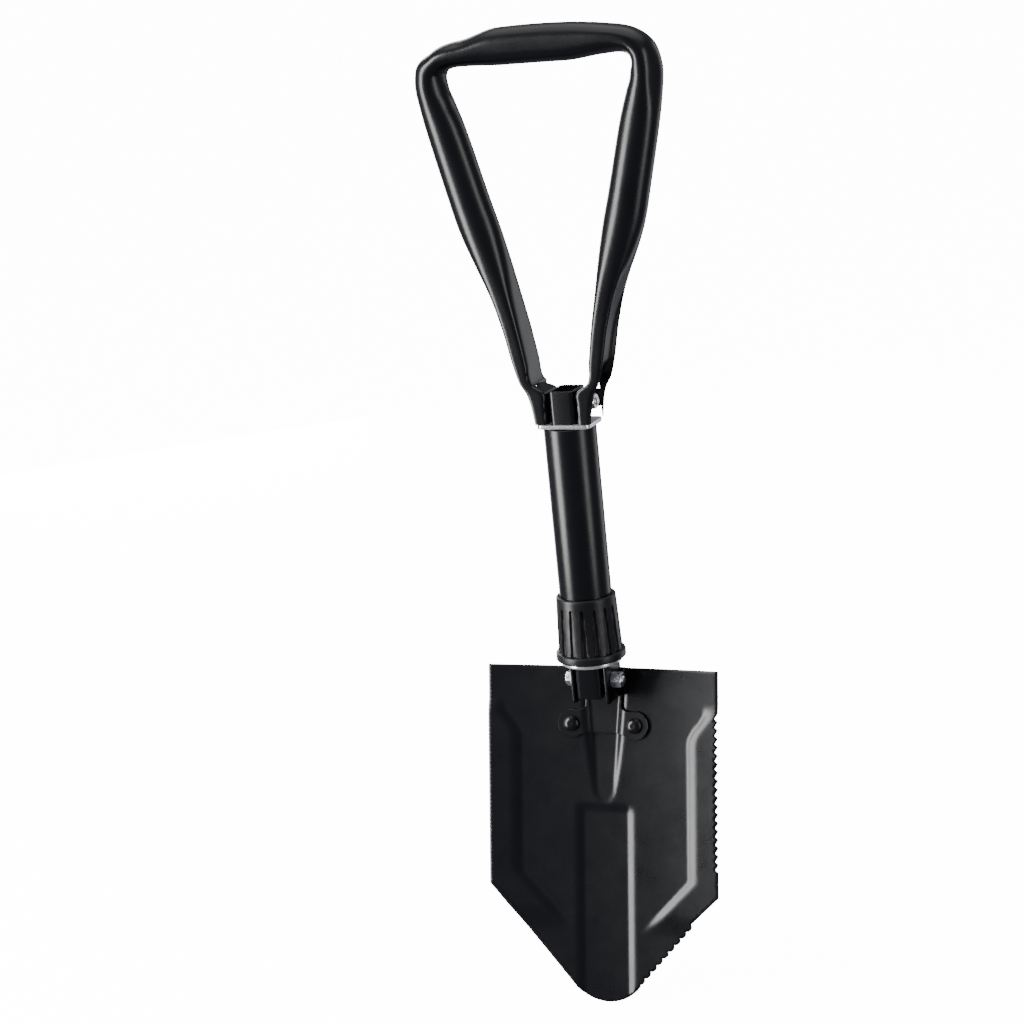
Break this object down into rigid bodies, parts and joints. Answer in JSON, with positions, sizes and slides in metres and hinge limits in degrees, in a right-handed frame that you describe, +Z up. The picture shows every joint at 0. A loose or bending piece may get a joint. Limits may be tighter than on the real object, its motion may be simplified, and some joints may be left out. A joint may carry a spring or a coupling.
{
  "type": "folding shovel",
  "caption": "Folding camp shovel with a tubular triangular handle, a clamped shaft with a ribbed screw collar, and a pointed steel blade with a saw edge.",
  "frame": {"origin": "on the shaft's axis at the middle of the bare tube between collar and end plate, where the tool is held", "axes": "+Z up along the shaft to the handle, -Y towards the blade's hollow front, +X towards the saw edge"},
  "size_m": [0.1532, 0.0497, 0.6026],
  "materials": {
    "core_strut": "black coated steel tube",
    "shaft_tube": "semi-gloss black powder coat",
    "top_plate": "bright zinc plate",
    "threaded_sleeve": "bright zinc plate",
    "thrust_ring": "bright zinc plate",
    "lock_collar": "satin moulded glass-filled nylon",
    "collar_insert": "bright zinc plate",
    "handle_foot_left": "semi-gloss black powder coat",
    "handle_foot_right": "semi-gloss black powder coat",
    "handle_leg_left": "semi-gloss black powder coat",
    "handle_leg_right": "semi-gloss black powder coat",
    "handle_grip": "semi-gloss black powder coat",
    "handle_bush": "bright zinc plate",
    "handle_bolt": "bright zinc plate",
    "handle_washer_left": "bright zinc plate",
    "handle_washer_right": "bright zinc plate",
    "handle_nut": "bright zinc plate",
    "blade_bracket": "semi-gloss black powder coat",
    "blade_bush": "bright zinc plate",
    "blade_bolt": "bright zinc plate",
    "blade_washer": "bright zinc plate",
    "blade_nut": "bright zinc plate",
    "blade": "semi-gloss black powder coat",
    "rivet_left": "semi-gloss black powder coat",
    "rivet_right": "semi-gloss black powder coat"
  },
  "bodies": {
    "core": {"core_strut": "core_strut", "handle_bush": "handle_bush", "handle_bolt": "handle_bolt", "handle_washer_left": "handle_washer_left", "handle_washer_right": "handle_washer_right", "handle_nut": "handle_nut", "blade_bush": "blade_bush", "blade_bolt": "blade_bolt", "blade_washer": "blade_washer", "blade_nut": "blade_nut"},
    "outer_tube": {"shaft_tube": "shaft_tube", "top_plate": "top_plate", "threaded_sleeve": "threaded_sleeve"},
    "clamp_ring": {"thrust_ring": "thrust_ring"},
    "collar": {"lock_collar": "lock_collar", "collar_insert": "collar_insert"},
    "blade_assembly": {"blade": "blade", "blade_bracket": "blade_bracket", "rivet_left": "rivet_left", "rivet_right": "rivet_right"},
    "handle": {"handle_foot_left": "handle_foot_left", "handle_foot_right": "handle_foot_right", "handle_leg_left": "handle_leg_left", "handle_leg_right": "handle_leg_right", "handle_grip": "handle_grip"}
  },
  "joints": [
    {"name": "handle_fold", "type": "hinge", "parent": "core", "child": "handle", "pos_m": [0, 0, 0.06735], "axis": [-1, 0, 0], "range_deg": [0, 168]},
    {"name": "blade_fold", "type": "hinge", "parent": "core", "child": "blade_assembly", "pos_m": [0, 0, -0.10765], "axis": [-1, 0, 0], "range_deg": [0, 155]},
    {"name": "tube_slide", "type": "slide", "parent": "core", "child": "outer_tube", "axis": [0, 0, 1], "range_m": [-0.003, 0]},
    {"name": "ring_slide", "type": "slide", "parent": "core", "child": "clamp_ring", "axis": [0, 0, 1], "range_m": [0, 0.003]},
    {"name": "collar_turn", "type": "hinge", "parent": "clamp_ring", "child": "collar", "pos_m": [0, 0, -0.07765], "axis": [0, 0, 1], "range_deg": [0, 720]}
  ],
  "couplings": [
    {"joint": "collar_turn", "follows": "tube_slide", "rad_per_m": -4188.7},
    {"joint": "ring_slide", "follows": "tube_slide", "ratio": -1}
  ]
}
